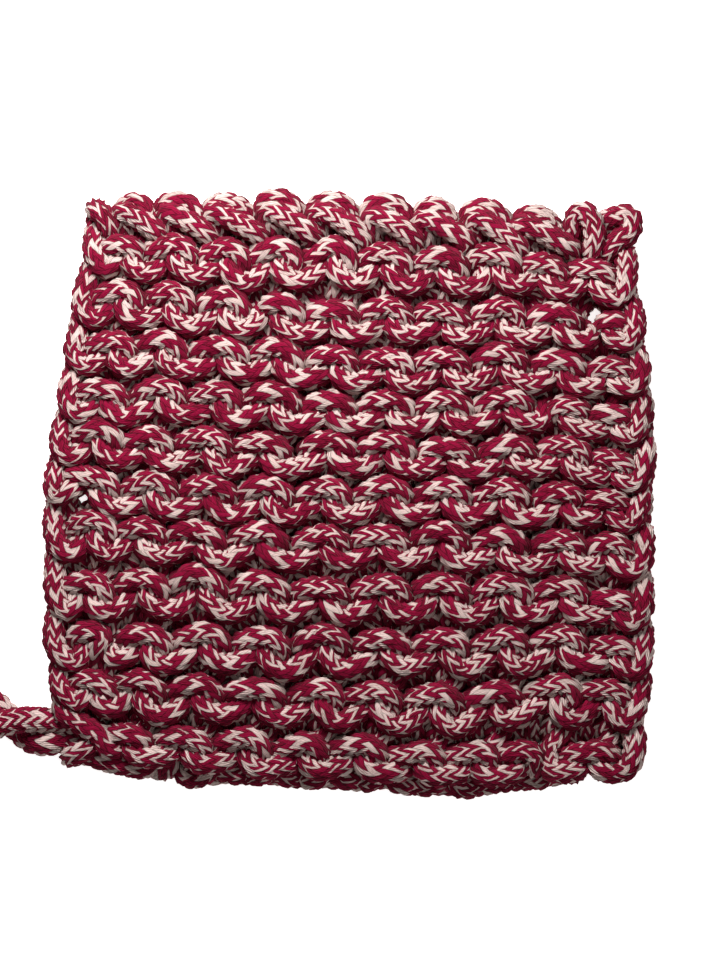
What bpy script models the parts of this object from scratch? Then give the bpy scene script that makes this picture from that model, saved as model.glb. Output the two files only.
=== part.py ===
"""Knitted pot holder: a square of thick braided cord in garter stitch, with a hanging loop.

Metres, +Z up. The square lies on its back at z = 0, with its cast-off edge towards +Y and the
hanging loop at its lower left corner. Lengths are written in millimetres and turned to metres
where a mesh or a curve is made. Run it with blender --background --python part.py.
"""

import math
from typing import NamedTuple

import bpy
import numpy as np

MM = 0.001

# The cord, and the cloth that it makes.
CORD_WIDTH = 8.0
THICKNESS = 19.0
STITCHES = 10  # arches across a ridge, between the two selvedges
COLUMNS_PER_STITCH = 6
SELVEDGE_WIDTH = 7.7  # the chain of cord down each side

# The section of a ridge: two crest lines with a valley on each side.
CREST_SPREAD = 2.7  # from a ridge's middle line to each of its two crest lines
ARCH_RISE = 4.0  # how far the arches swing above and below that middle line
ARCH_DIP = 1.6  # how much lower the crest is where two arches cross
VALLEY_DEPTH = 6.5  # front, below the crest
BACK_VALLEY_DEPTH = 5.0  # back, above the surface that the ridges rest on
SELVEDGE_CREST_IN = 2.6  # from the rim to the top of the selvedge chain
SELVEDGE_SCALLOP = 0.9  # how far the rim draws in between two ridges
SELVEDGE_DROP = 1.5  # how much lower the selvedge chain lies than the ridges

# The rim: it stands out furthest halfway up the cloth.
RIM_TOP = 14.6
RIM_MIDDLE = 9.4
RIM_BOTTOM = 4.2
RIM_ROUND = 1.4

# The cast-off and cast-on edges.
CAST_OFF_REACH = 8.6  # from its middle line to the rim
CAST_OFF_CREST = 2.4
CAST_OFF_BUMP = 1.8  # the height of its bumps, one for each stitch
CORNER_IN = 1.2  # how far the ends of those two rims lie inside the sides
EDGE_DROP = 1.5  # how much lower the two edges lie than the ridges


# The x of each of a line's six heights.
HEIGHT_PLACES = (-72.2, -37.0, -1.8, 36.6, 65.4, 86.2)


class Line(NamedTuple):
    """A line of stitches across the cloth: the heights of its middle line, then its ends."""

    outer_left: float
    inner_left: float
    middle: float
    inner_right: float
    right: float
    outer_right: float
    left_edge: float
    right_edge: float
    second_arch: float
    ninth_arch: float


CAST_OFF = Line(88.7, 88.8, 88.3, 86.5, 84.2, 84.5, -84.6, 92.6, -56.2, 58.6)
RIDGES = (
    Line(74.9, 72.7, 71.8, 70.6, 68.8, 66.3, -86.6, 92.0, -57.8, 62.2),
    Line(59.7, 56.5, 54.5, 52.9, 53.0, 51.2, -89.4, 95.2, -59.4, 64.8),
    Line(44.4, 42.0, 39.6, 39.1, 38.5, 36.7, -92.0, 96.8, -61.0, 66.1),
    Line(29.4, 27.2, 25.7, 24.7, 26.0, 21.8, -93.6, 97.4, -62.6, 67.7),
    Line(14.6, 13.0, 12.7, 11.4, 11.7, 6.8, -96.5, 98.1, -65.8, 69.0),
    Line(-0.2, -2.4, -2.7, -2.7, -3.6, -5.4, -97.4, 97.1, -65.8, 67.4),
    Line(-14.1, -16.7, -17.4, -17.4, -18.4, -20.8, -98.1, 96.5, -67.4, 66.4),
    Line(-32.2, -33.1, -33.3, -33.4, -33.0, -36.9, -97.8, 97.4, -67.4, 67.4),
    Line(-48.8, -50.1, -50.4, -50.9, -49.4, -51.9, -97.8, 97.1, -67.0, 66.7),
    Line(-62.4, -65.0, -65.7, -68.1, -65.0, -66.9, -95.5, 95.8, -68.6, 64.5),
    Line(-79.4, -83.5, -85.4, -87.5, -86.5, -86.3, -93.6, 94.6, -72.2, 56.5),
)
CAST_ON = Line(-88.2, -89.6, -91.4, -93.0, -91.8, -89.8, -88.6, 91.6, -68.0, 60.0)


class RimPoint(NamedTuple):
    """A point on the lower rim, which sags in two shallow curves."""

    x: float
    y: float


LOWER_RIM = (
    RimPoint(-88.6, -87.4),
    RimPoint(-78.6, -88.5),
    RimPoint(-51.4, -94.6),
    RimPoint(-35.4, -93.4),
    RimPoint(-6.6, -95.2),
    RimPoint(38.2, -97.8),
    RimPoint(70.2, -93.6),
    RimPoint(91.6, -90.4),
)


class Gap(NamedTuple):
    """A gap between stitches that shows the surface below, cut through the cloth."""

    x: float
    y: float
    half_length: float
    half_width: float
    turn: float


SLANTED_GAP = Gap(x=77.9, y=57.6, half_length=2.7, half_width=1.3, turn=math.radians(28))


class RoutePoint(NamedTuple):
    """A point that the hanging loop's cord passes through, at the middle of the cord."""

    x: float
    y: float
    z: float


LOOP_ROUTE = (
    RoutePoint(-95.9, -72.7, 9.4),
    RoutePoint(-100.0, -72.3, 10.2),
    RoutePoint(-106.0, -72.3, 11.6),
    RoutePoint(-112.2, -73.6, 12.8),
    RoutePoint(-118.0, -76.2, 12.0),
    RoutePoint(-124.4, -79.8, 8.2),
    RoutePoint(-131.4, -82.8, 4.8),
    RoutePoint(-139.4, -83.0, 4.1),
    RoutePoint(-146.8, -79.2, 4.1),
    RoutePoint(-150.4, -72.0, 4.1),
    RoutePoint(-149.4, -64.4, 4.1),
    RoutePoint(-144.0, -58.8, 4.1),
    RoutePoint(-136.4, -57.6, 4.1),
    RoutePoint(-129.0, -59.6, 4.1),
    RoutePoint(-121.8, -63.0, 4.1),
    RoutePoint(-115.2, -67.6, 4.1),
    RoutePoint(-110.4, -72.4, 4.1),
    RoutePoint(-106.6, -76.8, 4.4),
    RoutePoint(-102.4, -79.4, 6.0),
    RoutePoint(-98.6, -79.9, 8.0),
    RoutePoint(-94.6, -79.7, 9.0),
)
LOOP_SPLINE_STEP = 5.0
LOOP_BEVEL_RESOLUTION = 3


def remove_everything():
    """Empty the scene."""
    for thing in list(bpy.data.objects):
        bpy.data.objects.remove(thing, do_unlink=True)


def cord_material(name, colour):
    """The matt finish of cotton cord in one plain colour."""
    material = bpy.data.materials.new(name)
    material.use_nodes = True
    shader = material.node_tree.nodes["Principled BSDF"]
    shader.inputs["Base Color"].default_value = (*colour, 1.0)
    shader.inputs["Roughness"].default_value = 0.9
    shader.inputs["Metallic"].default_value = 0.0
    return material


def between(first, second):
    """The line halfway between two lines of stitches."""
    return Line(*((a + b) / 2 for a, b in zip(first, second)))


def blend(first, second, share):
    """The row of points that lies a share of the way from one row to another."""
    return [tuple(a + (b - a) * share for a, b in zip(p, q)) for p, q in zip(first, second)]


def at_height(row, height):
    """A row of points brought to one height."""
    return [(x, y, height) for x, y, _ in row]


def arch_x(line, stitch):
    """The x of a place along a line, counted in stitches: 0 is the first arch's middle."""
    last = STITCHES - 0.5
    places = (-0.5, 1, STITCHES - 2, last)
    inner_left = line.left_edge + SELVEDGE_WIDTH
    inner_right = line.right_edge - SELVEDGE_WIDTH
    return float(
        np.interp(stitch, places, (inner_left, line.second_arch, line.ninth_arch, inner_right))
    )


def columns():
    """The places of the grid's columns between the selvedges, in stitches.

    Each arch has two columns near its top and two near its foot, so that both look round.
    """
    count = STITCHES * COLUMNS_PER_STITCH
    return [(index + 0.5) / COLUMNS_PER_STITCH - 0.5 for index in range(count)]


def arch_swing(stitch):
    """How high the cord swings at a place: 1 on top of an arch, -1 at the foot of the next."""
    return math.cos(2 * math.pi * stitch)


def arch_sag(stitch):
    """0 along the middle of an arch, top or bottom, rising to 1 where two arches cross."""
    widest = math.cos(math.pi / COLUMNS_PER_STITCH)
    return 1 - min(1, abs(arch_swing(stitch)) / widest)


def line_y(line, x):
    """The height of a line's middle at a given x."""
    return float(np.interp(x, HEIGHT_PLACES, line[: len(HEIGHT_PLACES)]))


def lower_rim_y(x):
    """The height of the lower rim at a given x, rounded over between its points."""
    for start, end in zip(LOWER_RIM, LOWER_RIM[1:]):
        if x <= end.x:
            share = max(0.0, (x - start.x) / (end.x - start.x))
            return start.y + (end.y - start.y) * (0.5 - 0.5 * math.cos(math.pi * share))
    return LOWER_RIM[-1].y


def row_of_points(line, offset, swing, crest, dip, draw_in):
    """One row of the cloth's grid, from rim to rim.

    offset is its distance above the line's middle, swing how far it follows the arches, crest
    its height above z = 0, dip how much lower it lies where arches cross, and draw_in how far
    its ends lie inside the line's edges.
    """
    left = line.left_edge + RIM_ROUND + draw_in
    right = line.right_edge - RIM_ROUND - draw_in
    inner = []
    for stitch in columns():
        x = arch_x(line, stitch)
        y = line_y(line, x) + offset + swing * arch_swing(stitch)
        inner.append((x, y, crest - dip * arch_sag(stitch)))
    ends = []
    for x in (left, left + SELVEDGE_CREST_IN, right - SELVEDGE_CREST_IN, right):
        ends.append((x, line_y(line, x) + offset, crest))
    return [ends[0], ends[1], *inner, ends[2], ends[3]]


def upper_rim_row(height):
    """The scalloped rim along the cast-off edge, at one height."""
    offset = CAST_OFF_REACH - RIM_ROUND
    return row_of_points(CAST_OFF, offset, CAST_OFF_BUMP / 2, height, 0.0, CORNER_IN)


def lower_rim_row(height):
    """The rim along the cast-on edge, at one height."""
    row = row_of_points(CAST_ON, 0.0, 0.0, height, 0.0, CORNER_IN)
    return [(x, lower_rim_y(x) + RIM_ROUND, z) for x, _, z in row]


def front_rows():
    """The grid of the front, from the cast-off rim down to the cast-on rim."""
    crest = THICKNESS
    valley = THICKNESS - VALLEY_DEPTH
    edge = crest - EDGE_DROP
    above = between(CAST_OFF, RIDGES[0])
    rows = [
        upper_rim_row(RIM_TOP),
        row_of_points(CAST_OFF, CAST_OFF_CREST, ARCH_RISE / 3, edge, ARCH_DIP, 0.0),
        row_of_points(above, 0.6, ARCH_RISE, valley + 1, 0.0, SELVEDGE_SCALLOP),
    ]
    for line, following in zip(RIDGES, [*RIDGES[1:], None]):
        for offset in (CREST_SPREAD, -CREST_SPREAD):
            rows.append(row_of_points(line, offset, ARCH_RISE, crest, ARCH_DIP, 0.0))
        if following:
            low = between(line, following)
            rows.append(row_of_points(low, 0.0, ARCH_RISE, valley, 0.0, SELVEDGE_SCALLOP))
    rim = lower_rim_row(RIM_TOP)
    last = rows[-1]
    rows.append(at_height(blend(last, rim, 0.3), valley + 2))
    rows.append(at_height(blend(last, rim, 0.65), edge - 1))
    rows.append(rim)
    return rows


def back_rows():
    """The grid of the back. Its ridges lie behind the front's valleys, and rest on z = 0."""
    valley = BACK_VALLEY_DEPTH
    rows = [upper_rim_row(RIM_BOTTOM)]
    for offset in (CAST_OFF_CREST + 0.6, CAST_OFF_CREST - 3.4):
        rows.append(row_of_points(CAST_OFF, offset, 0.0, 0.0, 0.0, 0.0))
    for line, following in zip(RIDGES, [*RIDGES[1:], None]):
        rows.append(row_of_points(line, 0.0, ARCH_RISE, valley, 0.0, 0.0))
        if following:
            low = between(line, following)
            for offset in (CREST_SPREAD, -CREST_SPREAD):
                rows.append(row_of_points(low, offset, ARCH_RISE, 0.0, 0.0, SELVEDGE_SCALLOP))
    rim = lower_rim_row(RIM_BOTTOM)
    last = rows[-1]
    for share in (0.4, 0.75):
        rows.append(at_height(blend(last, rim, share), 0.0))
    rows.insert(-2, at_height(blend(last, rim, 0.2), valley - 2))
    rows.append(rim)
    return rows


def seat_the_sides(front, back):
    """Bring the two ends of every row to the rim, at the same place on the front and the back."""
    for front_row, back_row in zip(front, back):
        for index in (0, -1):
            x, y, _ = front_row[index]
            front_row[index] = (x, y, RIM_TOP)
            back_row[index] = (x, y, RIM_BOTTOM)
        for index in (1, -2):
            x, y, z = front_row[index]
            front_row[index] = (x, y, z - SELVEDGE_DROP)
            back_row[index] = (x, y, back_row[index][2])


def gap_corners(gap):
    """The four corners of a gap, anticlockwise from its lower left."""
    along = (math.cos(gap.turn) * gap.half_length, math.sin(gap.turn) * gap.half_length)
    across = (-math.sin(gap.turn) * gap.half_width, math.cos(gap.turn) * gap.half_width)
    corners = []
    for side, rise in ((-1, -1), (1, -1), (1, 1), (-1, 1)):
        x = gap.x + side * along[0] + rise * across[0]
        y = gap.y + side * along[1] + rise * across[1]
        corners.append((x, y))
    return corners


def cell_at(grid, gap):
    """The row and column of the grid's cell whose middle is nearest to a gap."""
    best, found = math.inf, (0, 0)
    for row in range(1, len(grid) - 2):
        for column in range(2, len(grid[0]) - 3):
            square = grid[row][column : column + 2] + grid[row + 1][column : column + 2]
            x = sum(point[0] for point in square) / 4
            y = sum(point[1] for point in square) / 4
            far = math.hypot(x - gap.x, y - gap.y)
            if far < best:
                best, found = far, (row, column)
    return found


def open_cell(grid, cell, gap):
    """Move the corners of one cell of the grid to the corners of a gap."""
    row, column = cell
    places = ((row + 1, column), (row + 1, column + 1), (row, column + 1), (row, column))
    for (r, c), (x, y) in zip(places, gap_corners(gap)):
        grid[r][c] = (x, y, grid[r][c][2])
    return places


def rim_middle(point, row, column, height, width):
    """The place on the rim's middle line beside one point of the front's border."""
    x, y, _ = point
    if column == 0:
        x -= RIM_ROUND
    if column == width - 1:
        x += RIM_ROUND
    if row == 0:
        y += RIM_ROUND
    if row == height - 1:
        y -= RIM_ROUND
    return (x, y, RIM_MIDDLE)


def cloth_mesh():
    """The cloth as one closed solid: front, back, rim, and the walls of its slanted gap."""
    front = front_rows()
    back = back_rows()
    seat_the_sides(front, back)
    cell = cell_at(front, SLANTED_GAP)
    open_cell(front, cell, SLANTED_GAP)
    corners = open_cell(back, cell, SLANTED_GAP)
    height, width = len(front), len(front[0])
    below = height * width
    faces = []
    for row in range(height - 1):
        for column in range(width - 1):
            if (row, column) == cell:
                continue
            here = row * width + column
            square = [here, here + width, here + width + 1, here + 1]
            faces.append(square)
            faces.append([below + index for index in reversed(square)])

    border = [(0, column) for column in range(width)]
    border += [(row, width - 1) for row in range(1, height)]
    border += [(height - 1, column) for column in range(width - 2, -1, -1)]
    border += [(row, 0) for row in range(height - 2, 0, -1)]
    rim = [rim_middle(front[row][column], row, column, height, width) for row, column in border]
    points = [point for grid in (front, back) for row in grid for point in row] + rim
    for index, (row, column) in enumerate(border):
        after = (index + 1) % len(border)
        upper = row * width + column
        upper_after = border[after][0] * width + border[after][1]
        middle, middle_after = 2 * below + index, 2 * below + after
        faces.append([upper, upper_after, middle_after, middle])
        faces.append([middle, middle_after, below + upper_after, below + upper])

    walls = [row * width + column for row, column in corners]
    for here, after in zip(walls, walls[1:] + walls[:1]):
        faces.append([here, after, below + after, below + here])
    mesh = bpy.data.meshes.new("knitted_square")
    mesh.from_pydata([tuple(value * MM for value in point) for point in points], [], faces)
    mesh.update()
    return mesh


def knitted_square(material):
    """The knitted cloth, with its stitches raised on both faces."""
    mesh = cloth_mesh()
    mesh.shade_smooth()
    mesh.materials.append(material)
    cloth = bpy.data.objects.new("knitted_square", mesh)
    bpy.context.collection.objects.link(cloth)
    return cloth


def smooth_route(route, step):
    """Points about a step apart on a smooth curve through a route's own points."""
    given = np.array(route)
    padded = np.vstack([2 * given[0] - given[1], given, 2 * given[-1] - given[-2]])
    fine = []
    for index in range(1, len(padded) - 2):
        before, start, end, after = padded[index - 1 : index + 3]
        for share in np.linspace(0, 1, 24, endpoint=False):
            straight = 2 * start + (end - before) * share
            bend = (2 * before - 5 * start + 4 * end - after) * share**2
            twist = (3 * start - before - 3 * end + after) * share**3
            fine.append((straight + bend + twist) / 2)
    fine.append(given[-1])
    fine = np.array(fine)
    length = np.concatenate([[0], np.cumsum(np.linalg.norm(np.diff(fine, axis=0), axis=1))])
    places = np.linspace(0, length[-1], round(length[-1] / step) + 1)
    return np.column_stack([np.interp(places, length, fine[:, axis]) for axis in range(3)])


def hanging_loop(material):
    """The loop of cord that leaves the lower left corner and comes back to it."""
    curve = bpy.data.curves.new("hanging_loop", "CURVE")
    curve.dimensions = "3D"
    curve.bevel_depth = CORD_WIDTH / 2 * MM
    curve.bevel_resolution = LOOP_BEVEL_RESOLUTION
    curve.use_fill_caps = True
    points = smooth_route(LOOP_ROUTE, LOOP_SPLINE_STEP)
    spline = curve.splines.new("POLY")
    spline.points.add(len(points) - 1)
    for place, point in zip(spline.points, points):
        place.co = (*(value * MM for value in point), 1.0)
    curve.materials.append(material)
    loop = bpy.data.objects.new("hanging_loop", curve)
    bpy.context.collection.objects.link(loop)
    return loop


def main():
    """Model the pot holder."""
    remove_everything()
    knitted_square(cord_material("cloth_cord", (0.30, 0.07, 0.10)))
    hanging_loop(cord_material("loop_cord", (0.32, 0.08, 0.11)))


main()
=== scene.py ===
"""Knitted pot holder, dressed: a garter-stitch square of braided cotton, and its hanging loop.

One cord makes the whole thing. It runs along the cast-on edge, out through the hanging loop and
back, then to and fro through 22 rows of knit stitches, and along the cast-off edge to the corner
where it is fastened off. Sizes are in millimetres, turned to metres where a mesh is made.
"""

import logging
import math
from dataclasses import dataclass
from enum import Enum
from functools import partial
from typing import Callable, NamedTuple, Sequence

import bpy
import numpy as np
from bpy.types import Camera, Light, Material, Mesh, Node, NodeSocket, NodeTree, Object
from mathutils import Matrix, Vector
from mathutils.kdtree import KDTree


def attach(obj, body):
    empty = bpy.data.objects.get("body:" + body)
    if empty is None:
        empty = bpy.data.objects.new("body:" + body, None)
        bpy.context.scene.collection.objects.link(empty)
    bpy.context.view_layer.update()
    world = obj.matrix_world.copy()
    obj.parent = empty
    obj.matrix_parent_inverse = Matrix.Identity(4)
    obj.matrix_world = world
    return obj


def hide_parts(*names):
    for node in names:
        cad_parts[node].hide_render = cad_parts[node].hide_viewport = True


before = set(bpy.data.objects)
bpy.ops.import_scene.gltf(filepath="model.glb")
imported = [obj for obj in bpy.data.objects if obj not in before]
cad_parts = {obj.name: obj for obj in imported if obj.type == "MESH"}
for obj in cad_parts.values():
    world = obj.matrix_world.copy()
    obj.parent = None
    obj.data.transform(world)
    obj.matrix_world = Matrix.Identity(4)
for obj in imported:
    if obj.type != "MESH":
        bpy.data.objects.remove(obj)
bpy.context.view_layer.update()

log = logging.getLogger("pot_holder")
MM = 0.001
CORD_WIDTH = 8.0  # where it hangs free
KNITTED_WIDTH = 6.9  # where the stitches pull it thin
THICKNESS = 19.0  # of the cloth, from the table to the front of its ridges
BAR_RELIEF = 0.4  # how far the strands of the braid stand out from the cord's mean surface
FRONT = THICKNESS - KNITTED_WIDTH / 2  # the height of a cord that lies along the cloth's front
BACK = KNITTED_WIDTH / 2 + BAR_RELIEF  # and of one that lies on the table
STITCHES = 10  # between the two selvedges
RIDGES = 11  # two rows each
STITCH_WIDTH = 17.9
RIDGE_PITCH = 15.4
SELVEDGE_WIDTH = 7.7
CAST_OFF_REACH = 8.6  # from the cast-off chain's middle line to the rim
HEIGHT_PLACES = (-72.2, -37.0, -1.8, 36.6, 65.4, 86.2)  # the x of a line's six heights
SEED = 7
UNLIKE = (0.7, 0.35, 0.06, 0.07)  # how unlike stitches are: to the right, up, in height, in lean
TWIST_WAVES = (170.0, 270.0, 430.0)  # the lengths over which the cord is twisted to and fro
TWIST_START = 6.3  # each of them starts anywhere in a full turn

Array = np.ndarray
Point = tuple[float, float, float]
Value = Node | NodeSocket | float | str | Point  # a str is a hex colour
AddNode = Callable[..., Node]


# ---- helpers ----


def linear(hex_colour: str) -> tuple[float, float, float, float]:
    """Turn an sRGB hex colour into the linear colour that a shader takes.

    Args:
        hex_colour: six hex digits after a hash sign.

    Returns:
        Linear red, green and blue, and an alpha of 1.
    """
    values = []
    for place in (1, 3, 5):
        share = int(hex_colour[place : place + 2], 16) / 255
        low = share / 12.92
        high = ((share + 0.055) / 1.055) ** 2.4
        values.append(low if share <= 0.04045 else high)
    return values[0], values[1], values[2], 1.0


def add_node(
    tree: NodeTree,
    kind: str,
    *inputs: Value,
    named: dict[str, Value] | None = None,
    **settings: object,
) -> Node:
    """Add a shader node with its settings and links.

    Args:
        tree: the material's node tree.
        kind: the node's type, less the word ShaderNode.
        inputs: the values of the node's inputs in order, where a node gives its first output.
        named: the values of inputs by name.
        settings: the node's other properties.

    Returns:
        The new node.
    """
    node = tree.nodes.new(f"ShaderNode{kind}")
    for name, value in settings.items():
        setattr(node, name, value)
    fed = list(zip((socket for socket in node.inputs if socket.enabled), inputs))
    fed += [(node.inputs[name], value) for name, value in (named or {}).items()]
    for socket, value in fed:
        if isinstance(value, Node):
            value = next(output for output in value.outputs if output.enabled)
        if isinstance(value, NodeSocket):
            tree.links.new(value, socket)
        else:
            socket.default_value = linear(value) if isinstance(value, str) else value
    return node


def fresh_material(name: str) -> tuple[Material, AddNode]:
    """Make a material with an empty node tree.

    Args:
        name: the material's name.

    Returns:
        The material, and the function that adds nodes to it.
    """
    material = bpy.data.materials.new(name)
    material.use_nodes = True
    material.node_tree.nodes.clear()
    return material, partial(add_node, material.node_tree)


def put_in_scene(name: str, data: Mesh | Camera | Light) -> Object:
    """Put a new object in the scene.

    Args:
        name: the object's name.
        data: its mesh, camera or light.

    Returns:
        The object.
    """
    new = bpy.data.objects.new(name, data)
    bpy.context.scene.collection.objects.link(new)
    return new


def spline(route: Array, parts: int) -> Array:
    """Points on a smooth curve through given points.

    Args:
        route: the given points, one a row.
        parts: how many steps lie between two of them.

    Returns:
        The curve's points. Every given point is among them, at a multiple of parts.
    """
    padded = np.vstack([2 * route[0] - route[1], route, 2 * route[-1] - route[-2]])
    share = np.linspace(0, 1, parts, endpoint=False)[None, :, None]
    before, start, end, after = (padded[at : len(padded) - 3 + at, None] for at in range(4))
    straight = 2 * start + (end - before) * share
    bend = (2 * before - 5 * start + 4 * end - after) * share**2
    twist = (3 * start - before - 3 * end + after) * share**3
    return np.vstack([((straight + bend + twist) / 2).reshape(-1, 3), route[-1:]])


def distance_along(points: Array) -> Array:
    """How far along a line of points each of them lies."""
    return np.concatenate([[0.0], np.cumsum(np.linalg.norm(np.diff(points, axis=0), axis=1))])


def points_at(places: Array, distance: Array, points: Array) -> Array:
    """The points of a line at given distances along it.

    Args:
        places: the distances wanted.
        distance: the distance of each of the line's points.
        points: the line's points.

    Returns:
        One point for each distance wanted.
    """
    return np.column_stack([np.interp(places, distance, points[:, axis]) for axis in range(3)])


# ---- finishes ----


class Strand(Enum):
    """What a strand is made of: where cream yarn starts and ends, as shares of its width."""

    CRIMSON = (-2.0, -1.0)
    CREAM_FIRST = (-1.0, 0.45)
    CREAM_LAST = (0.55, 2.0)
    CREAM = (-1.0, 2.0)


@dataclass(frozen=True)
class MarledCottonCord:
    """Cotton yarn, dyed and natural, laid side by side and braided into a soft cord.

    Cotton is matt, with a faint bloom of loose fibres at grazing angles. Each strand shows the
    few yarns it is made of as fine lines along it, and the natural yarns show specks of husk.
    Painted shade darkens the grooves between yarns and the creases between strands.
    """

    name: str = "marled_cotton_cord"
    # The darker crimson and cream are partly painted shade, blended in at the grooves between
    # yarns, and partly each bar's random tone and the fibres' streaks.
    crimson: str = "#8C0A34"
    deep_shaded_crimson: str = "#480211"
    cream: str = "#DAC1BB"
    deep_shaded_cream: str = "#AC918B"
    husk: str = "#6B4F47"
    crease: float = 0.08  # painted shade: the share of colour kept at the edge of a dyed strand
    pale_crease: float = 0.45  # and of a natural one, which light passes through
    crease_width: float = 0.19  # of the strand's width
    crease_curve: float = 0.6  # how fast it opens
    bar_end: float = 1.08  # where a strand has dived out of sight, in half lengths of a bar
    roughness: float = 0.9
    specular: float = 0.08
    bloom: float = 0.03
    bloom_roughness: float = 0.5
    strand_width: float = 2.0
    strand_length: float = 4.2
    yarns: int = 3  # in a strand
    yarn_slant: float = 0.5  # of a strand's width that its yarns cross in half a bar
    yarn_depth: float = 0.22
    yarn_shade: float = 0.2  # painted shade in the groove between two yarns
    yarn_relief: float = 0.5  # how far a yarn stands out, of its depth
    bar_shade: float = 0.3  # how much darker one bar is than another
    shaded: tuple[float, float] = (0.51, 0.97)  # painted shade plus tone: where the darker colour starts and is full
    husks: tuple[float, float] = (0.66, 0.8)  # the same for specks of husk, among the fibres
    edge_wander: float = 0.3  # how far loose fibres carry a yarn's edge, of a strand's width
    edge_shift: float = 0.14  # and how far it lies off its place from one bar to the next
    edge_softness: float = 0.04  # half the width over which one yarn gives way to the other
    fibre_width: float = 0.3  # drawn coarse: a cotton fibre is 0.02 mm wide, far under a pixel
    fibre_length: float = 2.5
    fibre_relief: float = 1.5  # of a yarn's depth
    fibre_detail: float = 2.0
    fibre_roughness: float = 0.6
    bars_apart: float = 97.0  # keeps the fibres of two bars unlike each other

    def material(self) -> Material:
        """Make the material. It reads each strand's make-up from the mesh's own attributes."""
        material, add = fresh_material(self.name)
        strand = add("Attribute", attribute_name=Braid.PLACE)
        across, along, first = add("SeparateColor", strand.outputs["Color"]).outputs
        tone = add("Attribute", attribute_name=Braid.TONE).outputs["Fac"]
        fibres = self.fibres(add, across, along, tone)
        slanted = add("Math", along, self.yarn_slant, across, operation="MULTIPLY_ADD")
        turns = add("Math", slanted, 2 * math.pi * self.yarns, operation="MULTIPLY")
        groove = add("Math", turns, operation="COSINE")

        # Painted shade in the grooves between yarns, summed with the fibres' streaks and each bar's
        # random tone.
        painted_shade_and_tone = add("Math", groove, self.yarn_shade, fibres, operation="MULTIPLY_ADD")
        painted_shade_and_tone = add("Math", tone, self.bar_shade, painted_shade_and_tone, operation="MULTIPLY_ADD")
        shade = add("MapRange", painted_shade_and_tone, *self.shaded)
        dyed = add("Mix", shade, self.crimson, self.deep_shaded_crimson, data_type="RGBA")
        plain = add("Mix", shade, self.cream, self.deep_shaded_cream, data_type="RGBA")
        husks = add("MapRange", fibres, *self.husks)
        plain = add("Mix", husks, plain, self.husk, data_type="RGBA")
        # Painted shade: both colours are darkened where a strand dives between its neighbours.
        light = self.painted_crease_light(add, across, along)
        lights = (
            add("Math", light, 1 - least, least, operation="MULTIPLY_ADD")
            for least in (self.crease, self.pale_crease)
        )
        dyed, plain = (
            add("VectorMath", colour, share, operation="SCALE")
            for colour, share in zip((dyed, plain), lights)
        )
        ends = (first, strand.outputs["Alpha"])
        natural = self.natural(add, across, fibres, tone, ends)

        relief = add("Math", groove, -self.yarn_relief, operation="MULTIPLY")
        relief = add("Math", fibres, self.fibre_relief, relief, operation="MULTIPLY_ADD")
        bump = add("Bump", named={"Height": relief, "Distance": self.yarn_depth * MM})
        surface = {
            "Base Color": add("Mix", natural, dyed, plain, data_type="RGBA"),
            "Roughness": self.roughness,
            "Specular IOR Level": self.specular,
            "Sheen Weight": self.bloom,
            "Sheen Roughness": self.bloom_roughness,
            "Sheen Tint": self.cream,
            "Normal": bump,
        }
        add("OutputMaterial", add("BsdfPrincipled", named=surface))
        return material

    def fibres(self, add: AddNode, across: Value, along: Value, tone: Value) -> Node:
        """Streaks along a strand, as its fibres lie.

        Args:
            add: adds a node to the material.
            across: the place across the strand, from 0 to 1.
            along: the place along it, from -1 to 1.
            tone: a number of the bar's own, which keeps its streaks unlike the others'.

        Returns:
            A value about 0.5.
        """
        widths = self.strand_width / self.fibre_width
        lengths = self.strand_length / self.fibre_length
        place = add("CombineXYZ", across, along, tone)
        scale = (widths, lengths, self.bars_apart)
        streaks = {
            "Vector": add("VectorMath", place, scale, operation="MULTIPLY"),
            "Scale": 1.0,
            "Detail": self.fibre_detail,
            "Roughness": self.fibre_roughness,
        }
        return add("TexNoise", named=streaks)

    def natural(
        self, add: AddNode, across: Value, fibres: Value, tone: Value, ends: Sequence[Value]
    ) -> Node:
        """Where a strand shows natural yarn, with edges that its fibres make ragged.

        Args:
            add: adds a node to the material.
            across: the place across the strand, from 0 to 1.
            fibres: the fibres' value, about 0.5.
            tone: the bar's own number, about 0.5.
            ends: where across the strand its natural yarn starts and ends.

        Returns:
            1 on natural yarn and 0 on dyed yarn.
        """
        ragged = add("Math", fibres, self.edge_wander, across, operation="MULTIPLY_ADD")
        ragged = add("Math", tone, self.edge_shift, ragged, operation="MULTIPLY_ADD")
        usual = (self.edge_wander + self.edge_shift) / 2
        soft = (usual - self.edge_softness, usual + self.edge_softness)
        distances = [add("Math", ragged, end, operation="SUBTRACT") for end in ends]
        past = [add("MapRange", far, *soft, interpolation_type="SMOOTHSTEP") for far in distances]
        return add("Math", *past, operation="SUBTRACT")

    def painted_crease_light(self, add: AddNode, across: Value, along: Value) -> Node:
        """Painted light by how open a strand is: 0 where it dives between its neighbours.

        Args:
            add: adds a node to the material.
            across: the place across the strand, from 0 to 1.
            along: the place along it, from -1 to 1.

        Returns:
            The openness, from 0 to 1.
        """
        from_middle = add("Math", across, 0.5, operation="SUBTRACT")
        openness = [
            add("MapRange", add("Math", far, operation="ABSOLUTE"), edge, edge - self.crease_width)
            for far, edge in ((from_middle, 0.5), (along, self.bar_end))
        ]
        both = add("Math", *openness, operation="MULTIPLY")
        return add("Math", both, self.crease_curve, operation="POWER")


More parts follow.
